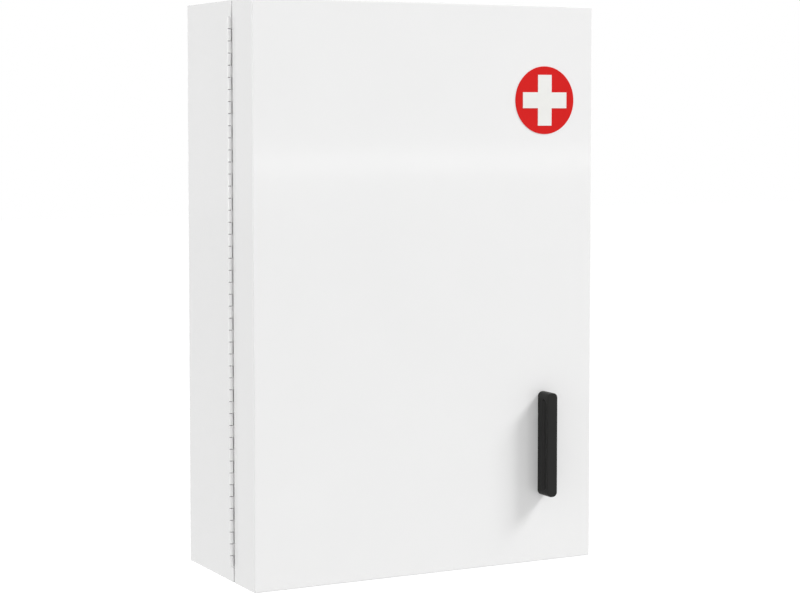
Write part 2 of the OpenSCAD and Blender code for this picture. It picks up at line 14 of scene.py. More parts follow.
import bmesh
import bpy
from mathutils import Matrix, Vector


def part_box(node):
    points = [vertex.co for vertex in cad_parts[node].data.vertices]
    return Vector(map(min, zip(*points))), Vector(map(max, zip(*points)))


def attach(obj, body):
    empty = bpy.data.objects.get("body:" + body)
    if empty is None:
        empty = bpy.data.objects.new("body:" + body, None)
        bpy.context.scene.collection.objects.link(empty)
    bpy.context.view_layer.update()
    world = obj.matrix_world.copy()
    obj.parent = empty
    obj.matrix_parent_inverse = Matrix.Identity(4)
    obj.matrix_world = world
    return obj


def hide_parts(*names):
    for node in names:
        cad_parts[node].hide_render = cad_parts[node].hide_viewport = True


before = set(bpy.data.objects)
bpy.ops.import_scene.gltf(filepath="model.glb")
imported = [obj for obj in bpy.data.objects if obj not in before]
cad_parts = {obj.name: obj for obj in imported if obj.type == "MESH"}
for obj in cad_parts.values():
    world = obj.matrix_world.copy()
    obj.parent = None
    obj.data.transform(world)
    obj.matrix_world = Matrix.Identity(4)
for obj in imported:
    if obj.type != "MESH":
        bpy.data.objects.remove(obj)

Piece = bpy.types.Object
Tree = bpy.types.NodeTree
Socket = bpy.types.NodeSocket
Triple = tuple[float, float, float]
Range = tuple[float, float]
PairTest = Callable[[Vector, Vector], bool]

LOG = logging.getLogger("cabinet")
WHITE = (1.0, 1.0, 1.0, 1.0)
BRIGHTEST = 0.98  # no part of a colour goes over this
MIDDLE_RANGE = (0.3, 0.7)  # where most values of a noise pattern lie
SAME_PLACE = 1e-5
MERGE_DISTANCE = 1e-6
FACING = 0.999  # cosine from which a face looks to a side
FLAT = math.radians(1)
SMOOTH = math.radians(32)
SHARP = math.radians(50)
SHADE_WEIGHT = 80
FOLD_SEGMENTS = 5
PAST = 0.001  # how far a cutter reaches past what it cuts


class Body(Enum):
    """The bodies that pieces ride on."""

    CASE = "case"
    DOOR = "door"
    LOCK = "lock"


class Side(Enum):
    """The six sides of a box, each with its outward direction."""

    FRONT = (0, -1, 0)
    BACK = (0, 1, 0)
    LEFT = (-1, 0, 0)
    RIGHT = (1, 0, 0)
    BOTTOM = (0, 0, -1)
    TOP = (0, 0, 1)

    @property
    def way(self) -> Vector:
        """The side's outward direction."""
        return Vector(self.value)


class Axis(Enum):
    """The axes of round pieces, each with its direction and the turn that brings Z onto it."""

    X = ((1, 0, 0), (0.0, math.pi / 2, 0.0))
    Y = ((0, 1, 0), (-math.pi / 2, 0.0, 0.0))
    Z = ((0, 0, 1), (0.0, 0.0, 0.0))


class Part(Enum):
    """The parts of a mesh that can be picked."""

    POINT = "VERT"
    EDGE = "EDGE"
    FACE = "FACE"


class Work(Enum):
    """What a tool does to a piece."""

    TAKE_AWAY = "DIFFERENCE"
    ADD = "UNION"
    TRIM = "INTERSECT"


# Bench tools ---------------------------------------------------------------


def activate(piece: Piece) -> None:
    """Makes one piece the only selected one and the active one.

    Args:
        piece: the object to work on.
    """
    bpy.ops.object.select_all(action="DESELECT")
    piece.select_set(True)
    bpy.context.view_layer.objects.active = piece


def named(name: str) -> Piece:
    """Names the newest object and puts its place and size into its mesh.

    Args:
        name: name of the object and of its mesh.

    Returns:
        The object.
    """
    piece = bpy.context.active_object
    piece.name = piece.data.name = name
    activate(piece)
    bpy.ops.object.transform_apply(location=True, rotation=True, scale=True)
    return piece


def add_block(name: str, low: Vector, high: Vector, turn_y: float = 0.0) -> Piece:
    """Adds a block between two corners, turned round Y at its middle."""
    bpy.ops.mesh.primitive_cube_add(
        size=1.0, location=(low + high) / 2, rotation=(0.0, turn_y, 0.0), scale=high - low
    )
    return named(name)


def add_round(
    name: str, axis: Axis, start: Vector, length: float, radius: float, sides: int = 64,
    capped: bool = True,
) -> Piece:
    """Adds a round bar or an open tube.

    Args:
        name: name of the piece.
        axis: the axis that it lies along.
        start: centre of its end with the lower coordinate.
        length: its length.
        radius: its radius.
        sides: number of facets round it.
        capped: whether its ends are closed.

    Returns:
        The bar.
    """
    along, turn = axis.value
    bpy.ops.mesh.primitive_cylinder_add(
        vertices=sides, radius=radius, depth=length, location=start + Vector(along) * length / 2,
        rotation=turn, end_fill_type="NGON" if capped else "NOTHING",
    )
    return named(name)


class Bench:
    """Edit mode on one piece: what is picked by its place is then worked on with operators."""

    def __init__(self, piece: Piece) -> None:
        """Takes the piece to work on."""
        self.piece = piece

    def __enter__(self) -> "Bench":
        """Opens edit mode with nothing picked.

        Returns:
            The bench.
        """
        activate(self.piece)
        bpy.ops.object.mode_set(mode="EDIT")
        bpy.ops.mesh.select_all(action="DESELECT")
        return self

    def __exit__(self, *problem: object) -> None:
        """Goes back to object mode."""
        bpy.ops.object.mode_set(mode="OBJECT")

    def pick(self, part: Part, wanted: Callable[[object], bool]) -> None:
        """Picks the parts of the mesh that pass a test, and nothing else.

        Args:
            part: what is picked.
            wanted: test of one part.
        """
        bpy.ops.mesh.select_mode(type=part.value)
        bpy.ops.mesh.select_all(action="DESELECT")
        mesh = bmesh.from_edit_mesh(self.piece.data)
        for item in [item for item in getattr(mesh, f"{part.value.lower()}s") if wanted(item)]:
            item.select_set(True)
        mesh.select_flush_mode()
        bmesh.update_edit_mesh(self.piece.data)

    def faces(self, wanted: PairTest) -> None:
        """Picks the faces whose centre and normal pass a test."""
        self.pick(Part.FACE, lambda face: wanted(face.calc_center_median(), face.normal))

    def edges(self, wanted: PairTest) -> None:
        """Picks the edges whose two ends pass a test."""
        self.pick(Part.EDGE, lambda edge: wanted(*(point.co for point in edge.verts)))

    def points(self, wanted: Callable[[Vector], bool]) -> None:
        """Picks the points whose place passes a test."""
        self.pick(Part.POINT, lambda point: wanted(point.co))

    def everything(self) -> None:
        """Picks all of the piece."""
        bpy.ops.mesh.select_all(action="SELECT")

    def bevel(self, width: float, segments: int) -> None:
        """Rounds the picked edges, or chamfers them with one segment."""
        bpy.ops.mesh.bevel(offset=width, segments=segments, affect="EDGES")

    def extrude(self, way: Vector) -> None:
        """Draws the picked parts out."""
        bpy.ops.mesh.extrude_region_move(TRANSFORM_OT_translate={"value": way})


def near(a: float, b: float) -> bool:
    """Tells whether two coordinates are the same."""
    return abs(a - b) < SAME_PLACE


def runs_along_y(a: Vector, b: Vector) -> bool:
    """Tells whether the edge between two points runs along Y."""
    return near(a.x, b.x) and near(a.z, b.z)


def lies_at(**place: float) -> PairTest:
    """Makes the test for edges that lie at the coordinates given, such as x=0.2."""
    return lambda *ends: all(
        near(getattr(end, axis), value) for end in ends for axis, value in place.items()
    )


def facing(*sides: Side) -> PairTest:
    """Makes the test for faces that look to one of the sides given."""
    return lambda centre, normal: any(normal.dot(side.way) > FACING for side in sides)


def round_edges(piece: Piece, wanted: PairTest, width: float, segments: int) -> None:
    """Rounds the edges of a piece that pass a test.

    Args:
        piece: the piece.
        wanted: test of an edge's two ends.
        width: width of the rounding.
        segments: facets of the rounding.
    """
    with Bench(piece) as bench:
        bench.edges(wanted)
        bench.bevel(width, segments)


def apply(piece: Piece, kind: str, **settings: object) -> None:
    """Adds a modifier, sets it and applies it.

    Args:
        piece: the piece that gets it.
        kind: the modifier's type.
        settings: values of its properties.
    """
    activate(piece)
    modifier = piece.modifiers.new(kind.title(), kind)
    for name, value in settings.items():
        setattr(modifier, name, value)
    bpy.ops.object.modifier_apply(modifier=modifier.name)


def repeat(piece: Piece, count: int, step: Triple) -> None:
    """Repeats a piece in a row, with ends that touch merged."""
    apply(
        piece, "ARRAY", count=count, use_relative_offset=False, use_constant_offset=True,
        constant_offset_displace=step, use_merge_vertices=True, merge_threshold=MERGE_DISTANCE,
    )


def thicken(piece: Piece, sheet: float, quality: bool = True) -> None:
    """Gives a shell its wall, inwards, with or without the slower and finer normals."""
    apply(
        piece, "SOLIDIFY", thickness=sheet, offset=-1.0, use_even_offset=True,
        use_quality_normals=quality,
    )


def soften(piece: Piece, width: float, segments: int = 2, angle: float = SHARP) -> None:
    """Rounds every edge of a piece that is sharper than an angle."""
    apply(
        piece, "BEVEL", width=width, segments=segments, limit_method="ANGLE", angle_limit=angle,
        miter_outer="MITER_ARC", use_clamp_overlap=True,
    )


def joined(name: str, pieces: list[Piece]) -> Piece:
    """Joins pieces into one.

    Args:
        name: name of the result.
        pieces: the pieces, of which the first stays.

    Returns:
        The joined piece.
    """
    activate(pieces[0])
    for piece in pieces[1:]:
        piece.select_set(True)
    bpy.ops.object.join()
    return named(name)


def copied(piece: Piece, name: str, shift: Triple, ways: Triple = (1, 1, 1)) -> Piece:
    """Copies a piece with its own mesh, and moves and mirrors the copy.

    Args:
        piece: the piece to copy.
        name: name of the copy.
        shift: how far the copy is moved.
        ways: factor along each axis, with -1 across a mirror plane.

    Returns:
        The copy.
    """
    activate(piece)
    bpy.ops.object.duplicate(linked=False)
    twin = bpy.context.active_object
    twin.location, twin.scale = shift, ways
    return named(name)


def mirrored(piece: Piece, name: str, at: Triple, ways: Triple) -> Piece:
    """Copies a piece and mirrors the copy in a plane.

    Args:
        piece: the piece to copy.
        name: name of the copy.
        at: a point of the mirror plane.
        ways: factor along each axis, with -1 across the plane.

    Returns:
        The mirrored copy, with its faces outwards.
    """
    shift = [place * (1 - way) for place, way in zip(at, ways)]
    twin = copied(piece, name, shift, ways)
    seal(twin)
    return twin


def seal(piece: Piece) -> None:
    """Merges doubled points and turns all faces outwards.

    Args:
        piece: the piece to clean.
    """
    with Bench(piece) as bench:
        bench.everything()
        bpy.ops.mesh.remove_doubles(threshold=MERGE_DISTANCE)
        bpy.ops.mesh.normals_make_consistent(inside=False)


def close_ends(piece: Piece) -> None:
    """Fills every open loop of a piece and seals it.

    Args:
        piece: the piece.
    """
    with Bench(piece) as bench:
        bench.pick(Part.EDGE, lambda edge: edge.is_boundary)
        bpy.ops.mesh.fill_holes(sides=0)
    seal(piece)


def cut(piece: Piece, tool: Piece, how: Work = Work.TAKE_AWAY) -> None:
    """Works a piece with another, which is used up by it."""
    apply(piece, "BOOLEAN", object=tool, operation=how.value, solver="EXACT")
    bpy.data.meshes.remove(tool.data)


def drill(
    piece: Piece, axis: Axis, start: Vector, depth: float, radius: float, sides: int = 64
) -> None:
    """Bores a round hole from its end with the lower coordinate."""
    cut(piece, add_round("drill", axis, start, depth, radius, sides))


def flatten(piece: Piece, middle: float, half: float) -> None:
    """Cuts two flats across Z.

    Args:
        piece: the piece that gets them.
        middle: height halfway between the flats.
        half: distance of each flat from there.
    """
    with Bench(piece) as bench:
        for way in (1, -1):
            bench.everything()
            bpy.ops.mesh.bisect(
                plane_co=(0, 0, middle + way * half), plane_no=(0, 0, way), use_fill=True,
                clear_outer=True,
            )


def shade(piece: Piece) -> None:
    """Shades the rounded edges smooth and keeps the flat faces flat.

    Args:
        piece: the piece.
    """
    activate(piece)
    bpy.ops.object.shade_smooth_by_angle(angle=SMOOTH)
    apply(piece, "WEIGHTED_NORMAL", keep_sharp=True, weight=SHADE_WEIGHT)


# Finishes --------------------------------------------------------------------


@dataclass(frozen=True)
class Grain:
    """A cloudy pattern in Object coordinates.

    Attributes:
        size: width of its spots.
        detail: how many finer layers it has.
        stretch: how many times finer it is along each axis.
    """

    size: float
    detail: float = 2.0
    stretch: Triple = (1.0, 1.0, 1.0)

    def build(self, tree: Tree) -> Socket:
        """Adds the pattern.

        Args:
            tree: the node tree that gets it.

        Returns:
            The output, about 0.5 in the middle.
        """
        place = tree.nodes.new("ShaderNodeTexCoord").outputs["Object"]
        mapping = add_node(tree, "ShaderNodeMapping", {"Vector": place, "Scale": self.stretch})
        texture = add_node(tree, "ShaderNodeTexNoise", {
            "Vector": mapping.outputs["Vector"], "Scale": 1.0 / self.size, "Detail": self.detail,
        })
        return texture.outputs[0]

    def spread(self, tree: Tree, low: float, high: float) -> Socket:
        """Adds the pattern with its middle range mapped to two values."""
        return add_node(tree, "ShaderNodeMapRange", {
            "Value": self.build(tree), "From Min": MIDDLE_RANGE[0], "From Max": MIDDLE_RANGE[1],
            "To Min": low, "To Max": high,
        }).outputs["Result"]


Layers = tuple[tuple[Grain, float], ...]
Settings = tuple[tuple[str, float], ...]
Inputs = dict[str | int, object]


def feed(node: bpy.types.Node, inputs: Inputs) -> None:
    """Sets or links inputs of a shader node.

    Args:
        node: the node.
        inputs: for each input, its value or the output that feeds it.
    """
    for name, value in inputs.items():
        if isinstance(value, Socket):
            node.id_data.links.new(value, node.inputs[name])
        else:
            node.inputs[name].default_value = value


def add_node(tree: Tree, kind: str, inputs: Inputs, **settings: object) -> bpy.types.Node:
    """Adds a shader node.

    Args:
        tree: the node tree that gets it.
        kind: type of the node.
        inputs: for each input, its value or the output that feeds it.
        settings: values of its properties.

    Returns:
        The node.
    """
    node = tree.nodes.new(kind)
    for name, value in settings.items():
        setattr(node, name, value)
    feed(node, inputs)
    return node


def new_material(name: str) -> tuple[bpy.types.Material, bpy.types.Node]:
    """Starts a material.

    Args:
        name: name of the material.

    Returns:
        The material and its shader.
    """
    material = bpy.data.materials.new(name)
    material.use_nodes = True
    return material, material.node_tree.nodes["Principled BSDF"]


@dataclass(frozen=True)
class Finish:
    """A finish whose colour, gloss and relief each follow a pattern.

    Attributes:
        name: name of the material.
        slot: name of the model's slot for it; not used.
        colour: its colour.
        tones: factors of the colour where the cloud is dark and where it is bright.
        cloud: pattern of the colour.
        gloss: roughness where the marks are dark and where they are bright.
        marks: pattern of the gloss.
        relief: patterns of the relief, each with its height.
        even: sockets of the shader that are the same all over.
        light: the bright tone, where it has a hue of its own.
    """

    name: str
    slot: str
    colour: Triple
    tones: Range
    cloud: Grain
    gloss: Range
    marks: Grain
    relief: Layers
    even: Settings = ()
    light: Triple | None = None

    def build(self) -> bpy.types.Material:
        """Makes the material.

        Returns:
            The material.
        """
        material, shader = new_material(self.name)
        tree = material.node_tree
        dark, light = (
            [min(part * tone, BRIGHTEST) for part in self.colour] for tone in self.tones
        )
        mix = add_node(tree, "ShaderNodeMix", {
            "A": (*dark, 1.0), "B": (*(self.light or light), 1.0),
            "Factor": self.cloud.spread(tree, 0.0, 1.0),
        }, data_type="RGBA")
        raised = {}
        for grain, height in self.relief:
            bump = add_node(tree, "ShaderNodeBump", {
                "Strength": 1.0, "Distance": height, "Height": grain.build(tree), **raised,
            })
            raised = {"Normal": bump.outputs["Normal"]}
        feed(shader, {
            "Base Color": mix.outputs["Result"], "Roughness": self.marks.spread(tree, *self.gloss),
            **raised, "Coat Normal": raised["Normal"], **dict(self.even),
        })
        return material


@dataclass(frozen=True)
class PowderCoat(Finish):
    """Gloss white powder coat, with its fine orange peel."""

    name: str = "powder_coat_white"
    slot: str = "white_paint"
    colour: Triple = (0.9, 0.9, 0.898)
    tones: Range = (0.995, 1.004)
    cloud: Grain = Grain(0.09, 3.0)
    gloss: Range = (0.17, 0.23)
    marks: Grain = Grain(0.0052)
    relief: Layers = ((Grain(0.0026, 1.0), 0.000022), (Grain(0.0006, 1.0), 0.000002))
    even: Settings = (
        ("Coat Weight", 0.5), ("Coat Roughness", 0.08), ("Coat IOR", 1.5), ("IOR", 1.45),
        ("Specular IOR Level", 0.2),
    )


@dataclass(frozen=True)
class MouldedPlastic(Finish):
    """Satin black plastic with the fine grain of a spark-eroded mould."""

    name: str = "moulded_plastic_black"
    slot: str = "black_plastic"
    colour: Triple = (0.0112, 0.0112, 0.0106)
    tones: Range = (0.9, 1.12)
    cloud: Grain = Grain(0.02, 3.0, (1.0, 1.0, 0.4))
    gloss: Range = (0.42, 0.52)
    marks: Grain = Grain(0.00135)
    relief: Layers = ((Grain(0.00045, 3.0), 0.00003),)
    even: Settings = (("IOR", 1.5), ("Specular IOR Level", 0.17))


@dataclass(frozen=True)
class SignVinyl(Finish):
    """Satin self-adhesive vinyl."""

    tones: Range = (0.975, 1.02)
    cloud: Grain = Grain(0.03, 4.0)
    gloss: Range = (0.34, 0.42)
    marks: Grain = Grain(0.0044)
    relief: Layers = ((Grain(0.0011), 0.000006),)
    even: Settings = (("IOR", 1.46), ("Specular IOR Level", 0.12))


@dataclass(frozen=True)
class Metal(Finish):
    """What the bare and the plated metals share."""

    even: Settings = (("Metallic", 1.0),)


@dataclass(frozen=True)
class ZincPlate(Metal):
    """Bright zinc plate, with its faint cloudy tint and its scratches."""

    name: str = "zinc_plate_bright"
    slot: str = "zinc_plate"
    colour: Triple = (0.6, 0.61, 0.63)
    tones: Range = (0.9, 1.0)
    light: Triple = (0.66, 0.655, 0.62)
    cloud: Grain = Grain(0.012, 4.0)
    gloss: Range = (0.26, 0.4)
    marks: Grain = Grain(0.0009, 2.0, (1.0, 1.0, 0.12))
    relief: Layers = ((marks, 0.000004),)


@dataclass(frozen=True)
class ChromePlate(Metal):
    """Polished chrome plate."""

    name: str = "chrome_plate_polished"
    slot: str = "lock_chrome"
    colour: Triple = (0.8, 0.8, 0.82)
    tones: Range = (0.96, 1.03)
    cloud: Grain = Grain(0.006)
    gloss: Range = (0.07, 0.16)
    marks: Grain = Grain(0.0015, 3.0, (1.0, 0.3, 1.0))
    relief: Layers = ((marks, 0.0000015),)


@dataclass(frozen=True)
class GroundSteel(Metal):
    """Ground steel with the lines of the wheel."""

    tones: Range = (0.85, 1.1)
    cloud: Grain = Grain(0.0007, 2.0, (1.0, 1.0, 0.06))
    gloss: Range = (0.3, 0.46)
    marks: Grain = cloud
    relief: Layers = ((cloud, 0.000006),)


@dataclass(frozen=True)
class Ferrite(Finish):
    """Dark sintered magnet."""

    name: str = "ferrite_sintered"
    slot: str = "magnet"
    colour: Triple = (0.08, 0.08, 0.085)
    tones: Range = (0.8, 1.25)
    cloud: Grain = Grain(0.0004, 3.0)
    gloss: Range = (0.55, 0.72)
    marks: Grain = cloud
    relief: Layers = ((cloud, 0.00003),)


@dataclass(frozen=True)
class SoftRubber(Finish):
    """Soft grey rubber with its bloom."""

    name: str = "rubber_grey"
    slot: str = "grey_rubber"
    colour: Triple = (0.12, 0.12, 0.125)
    tones: Range = (0.88, 1.15)
    cloud: Grain = Grain(0.002, 4.0)
    gloss: Range = (0.62, 0.78)
    marks: Grain = cloud
    relief: Layers = ((Grain(0.0005), 0.00002),)
    even: Settings = (("Specular IOR Level", 0.3),)


WHITE_PAINT = PowderCoat()
BLACK_PLASTIC = MouldedPlastic()
RED_VINYL = SignVinyl("vinyl_red", "red_sign", (0.685, 0.0138, 0.0128))
WHITE_VINYL = SignVinyl("vinyl_white", "white_sign", (0.885, 0.885, 0.86))
ZINC = ZincPlate()
CHROME = ChromePlate()
POLE_STEEL = GroundSteel("steel_ground", "pole_steel", (0.42, 0.42, 0.44))
# The hinge's real steel pin, darkened well past steel's own colour so that it shows as painted
# shade in the gaps between the knuckles.
PIN_STEEL_GAP_SHADE = GroundSteel("steel_darkened_gap_shade", "zinc_plate", (0.15, 0.15, 0.16))
MAGNET = Ferrite()
RUBBER = SoftRubber()


class Wardrobe:
    """Makes each finish once and dresses pieces with it."""

    def __init__(self) -> None:
        """Starts with no material made."""
        self.made: dict[Finish, bpy.types.Material] = {}

    def dress(self, piece: Piece, finish: Finish, body: Body, node: str) -> None:
        """Gives a piece its finish and its body and hides the node that it stands for.

        Args:
            piece: the piece.
            finish: what it is coated with or made of.
            body: the body that it moves with.
            node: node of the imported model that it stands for.
        """
        if finish not in self.made:
            self.made[finish] = finish.build()
        piece.data.materials.clear()
        piece.data.materials.append(self.made[finish])
        shade(piece)
        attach(piece, body.value)
        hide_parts(node)
        LOG.info("%s rides on %s, %d faces", piece.name, body.value, len(piece.data.polygons))

    def take_over(
        self, node: str, name: str, rounding: float, finish: Finish, body: Body
    ) -> None:
        """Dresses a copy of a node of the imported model, with its edges rounded.

        Args:
            node: name of the node.
            name: name of the piece.
            rounding: width of the rounded edges.
            finish: what it is coated with or made of.
            body: the body that it moves with.
        """
        piece = bpy.data.objects.new(name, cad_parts[node].data.copy())
        bpy.context.scene.collection.objects.link(piece)
        seal(piece)
        with Bench(piece) as bench:
            bench.everything()
            bpy.ops.mesh.dissolve_limited(angle_limit=FLAT)
        soften(piece, rounding)
        self.dress(piece, finish, body, node)


# Sub-assemblies ----------------------------------------------------------------


def on_lock_axis(x: float) -> Vector:
    """Gives the point of the lock's axis at a place along X."""
    low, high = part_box("lock_barrel")
    return Vector((x, (low.y + high.y) / 2, (low.z + high.z) / 2))


def screw_places(y: float) -> list[Vector]:
    """Gives points on the axes of the handle's two screws.

    Args:
        y: their place along Y.

    Returns:
        The points, lower first.
    """
    low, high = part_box("handle_washers")
    radius = (high.x - low.x) / 2
    return [Vector((low.x + radius, y, z)) for z in (low.z + radius, high.z - radius)]


@dataclass
class FoldedSheet:
    """Sheet steel folded into a box, with flanges whose corners meet in mitred seams."""

    wardrobe: Wardrobe
    sheet: float = 0.0012
    bend: float = 0.0013
    flange: float = 0.0192
    seam: float = 0.0003
    seam_depth: float = 0.0005
    rim: float = 0.0002

    def fold(self, node: str, name: str, flanges: dict[Side, float]) -> Piece:
        """Folds a box with a flange round each open side.

        Args:
            node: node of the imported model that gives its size.
            name: name of the piece.
            flanges: for each open side, the width of the flange round it, from the outside.

        Returns:
            The box, with seams on its front flange or else on its back one.
        """
        low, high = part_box(node)
        box = add_block(name, low, high)
        with Bench(box) as bench:
            bench.everything()
            bench.bevel(self.bend, FOLD_SEGMENTS)
            for side, width in flanges.items():
                bench.faces(facing(side))
                bpy.ops.mesh.inset(thickness=width - self.bend, use_even_offset=True)
                bpy.ops.mesh.delete(type="FACE")
        thicken(box, self.sheet)
        soften(box, self.rim)
        cut(box, self.seams(low, high, low.y if Side.FRONT in flanges else high.y))
        return box

    def seams(self, low: Vector, high: Vector, plane: float) -> Piece:
        """Makes the cutter for the four mitred corners of a flange.

        Args:
            low: lowest outer corner of the box.
            high: highest outer corner of the box.
            plane: place of the flange's face along Y.

        Returns:
            Four thin blocks as one object.
        """
        seams = []
        half = Vector((self.flange * math.sqrt(2) + PAST, 2 * self.seam_depth, self.seam)) / 2
        for x, way_x in ((low.x, 1), (high.x, -1)):
            for z, way_z in ((low.z, 1), (high.z, -1)):
                middle = Vector((x + way_x * self.flange / 2, plane, z + way_z * self.flange / 2))
                turn = -way_x * way_z * math.pi / 4
                seams.append(add_block("seam_cut", middle - half, middle + half, turn))
        return joined("seam_cuts", seams)


@dataclass
class SteelCase(FoldedSheet):
    """The folded case with its back panel and the lock's keeper."""

    rear_flange: float = 0.015
    panel_corner: float = 0.004
    wall_hole: float = 0.0035
    wall_hole_inset: float = 0.05
    catch_w: float = 0.009
    catch_h: float = 0.034
    catch_slack: float = 0.00015
    buffer_r: float = 0.0045
    buffer_neck: float = 0.0025
    buffer_end: float = 0.03
    keeper_edge: float = 0.0003

    def build(self) -> None:
        """Builds the case's pieces."""
        self.shell()
        self.back_panel()
        self.wardrobe.take_over("lock_keeper", "keeper_angle", self.keeper_edge, ZINC, Body.CASE)

    def shell(self) -> None:
        """Folds the wrap and opens its front flange for the catch and the buffers."""
        flanges = {Side.FRONT: self.flange, Side.BACK: self.rear_flange}
        shell = self.fold("case_shell", "case_wrap", flanges)
        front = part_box("case_shell")[0].y
        low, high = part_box("catch_housing")
        middle = (low + high) / 2
        middle.y = front + self.sheet / 2
        half = Vector((self.catch_w / 2, PAST, self.catch_h / 2))
        half += Vector((self.catch_slack, 0.0, self.catch_slack))
        cut(shell, add_block("catch_cut", middle - half, middle + half))
        for x, z in self.buffer_places():
            drill(shell, Axis.Y, Vector((x, front - PAST, z)), 3 * PAST, self.buffer_neck, 32)
        self.wardrobe.dress(shell, WHITE_PAINT, Body.CASE, "case_shell")

    def buffer_places(self) -> list[Range]:
        """Gives the places of the buffers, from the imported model's own corners.

        Returns:
            X and Z of each.
        """
        case_low, case_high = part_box("case_shell")
        rim = Vector((self.buffer_r, 0.0, self.buffer_r))
        low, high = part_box("door_buffers")
        low, high = low + rim, high - rim
        ends = (case_high.z - self.buffer_end, case_low.z + self.buffer_end)
        return [(high.x, z) for z in ends] + [(low.x, high.z), (low.x, low.z)]

    def back_panel(self) -> None:
        """Rounds the flat panel's corners and opens its wall holes."""
        low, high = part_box("back_panel")
        panel = add_block("rear_panel", low, high)
        round_edges(panel, runs_along_y, self.panel_corner, 8)
        case_low, case_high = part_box("case_shell")
        inset = self.wall_hole_inset
        for x in (case_low.x + inset, case_high.x - inset):
            for z in (case_low.z + inset, case_high.z - inset):
                drill(panel, Axis.Y, Vector((x, low.y - PAST, z)), 4 * PAST, self.wall_hole)
        soften(panel, self.rim)
        self.wardrobe.dress(panel, WHITE_PAINT, Body.CASE, "back_panel")


@dataclass
class PanDoor(FoldedSheet):
    """The deep folded door pan."""

    screw_hole: float = 0.0022
    lock_hole: float = 0.00815
    lock_flat: float = 0.00715

    def build(self) -> None:
        """Folds the pan and opens it for the handle's screws and for the lock."""
        low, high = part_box("door_pan")
        pan = self.fold("door_pan", "door_pan_folded", {Side.BACK: self.flange})
        for start in screw_places(low.y - PAST):
            drill(pan, Axis.Y, start, 4 * PAST, self.screw_hole, 32)
        start = on_lock_axis(high.x - 4 * PAST)
        cutter = add_round("lock_cut", Axis.X, start, 6 * PAST, self.lock_hole)
        flatten(cutter, start.z, self.lock_flat)
        cut(pan, cutter)
        self.wardrobe.dress(pan, WHITE_PAINT, Body.DOOR, "door_pan")


@dataclass
class PianoHinge:
    """The full-length hinge: two leaves with rolled knuckles, and their pin."""

    wardrobe: Wardrobe
    knuckles: int = 46
    gap: float = 0.0007
    leaf: float = 0.001
    notch: float = 0.0004
    jog: float = 0.0004
    roll_steps: int = 27
    roll_gap: float = math.radians(6)
    edge: float = 0.00014
    pin_dome: float = 0.0005

    def build(self) -> None:
        """Builds the leaves and the pin."""
        low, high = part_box("hinge_pin")
        self.axis, self.bottom = (low + high) / 2, low.z
        self.pitch = (high.z - low.z) / self.knuckles
        fixed = self.leaf_piece("hinge_leaf_fixed", 0)
        moving = self.leaf_piece("hinge_leaf_moving", 1)
        swinging = mirrored(moving, "hinge_leaf_swinging", self.axis, (1, -1, 1))
        bpy.data.meshes.remove(moving.data)
        self.wardrobe.dress(fixed, WHITE_PAINT, Body.CASE, "hinge_leaf_case")
        self.wardrobe.dress(swinging, WHITE_PAINT, Body.DOOR, "hinge_leaf_door")
        start = Vector((self.axis.x, self.axis.y, self.bottom))
        pin = add_round(
            "hinge_pin_domed", Axis.Z, start, high.z - low.z, (high.x - low.x) / 2, sides=32
        )
        round_edges(pin, lambda a, b: near(a.z, b.z), self.pin_dome, 4)
        # The pin's finish is darkened as painted shade in the knuckle gaps.
        self.wardrobe.dress(pin, PIN_STEEL_GAP_SHADE, Body.CASE, "hinge_pin")

    def cell(self, name: str, first: int) -> Piece:
        """Rolls one knuckle from the edge of the stretch of plate that carries it.

        Args:
            name: name of the piece.
            first: 0 where the stretch starts with its knuckle, 1 where it ends with it.

        Returns:
            The stretch, open at both ends.
        """
        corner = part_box("case_shell")[0]
        leaf_low, leaf_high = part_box("hinge_leaf_case")
        end = self.bottom + 2 * self.pitch
        low = Vector((corner.x + self.notch, corner.y - self.leaf, self.bottom))
        cell = add_block(name, low, Vector((leaf_high.x, corner.y, end)))
        tongue_low = self.bottom + first * self.pitch + self.gap / 2
        tongue_high = tongue_low + self.pitch - self.gap
        roll_r = self.axis.x - leaf_low.x - self.leaf / 2
        neck_y = corner.y - self.leaf / 2 - self.jog
        neck_angle = math.asin((neck_y - self.axis.y) / roll_r)
        neck_x = self.axis.x + roll_r * math.cos(neck_angle)
        left, ends = facing(Side.LEFT), facing(Side.TOP, Side.BOTTOM)
        with Bench(cell) as bench:
            for z in (tongue_low, tongue_high):
                bench.everything()
                bpy.ops.mesh.bisect(plane_co=(0, 0, z), plane_no=(0, 0, 1))
            bench.faces(lambda at, way: left(at, way) and tongue_low < at.z < tongue_high)
            for x, y in ((-self.notch, -self.jog), (neck_x - corner.x, 0)):
                bench.extrude((x, y, 0))
            bpy.ops.transform.rotate(
                value=math.pi / 2 - neck_angle, orient_axis="Z",
                center_override=(neck_x, neck_y, tongue_low),
            )
            bpy.ops.mesh.spin(
                steps=self.roll_steps, angle=neck_angle + self.roll_gap - 2 * math.pi,
                center=self.axis, axis=(0, 0, 1),
            )
            bench.faces(
                lambda at, way: ends(at, way) and (near(at.z, self.bottom) or near(at.z, end))
            )
            bpy.ops.mesh.delete(type="FACE")
        return cell

    def leaf_piece(self, name: str, first: int) -> Piece:
        """Repeats the rolled stretch over the hinge's length.

        Args:
            name: name of the leaf.
            first: index of the lowest knuckle.

        Returns:
            The leaf on the case's side.
        """
        leaf = self.cell(name, first)
        repeat(leaf, self.knuckles // 2, (0, 0, 2 * self.pitch))
        close_ends(leaf)
        soften(leaf, self.edge, segments=1)
        return leaf


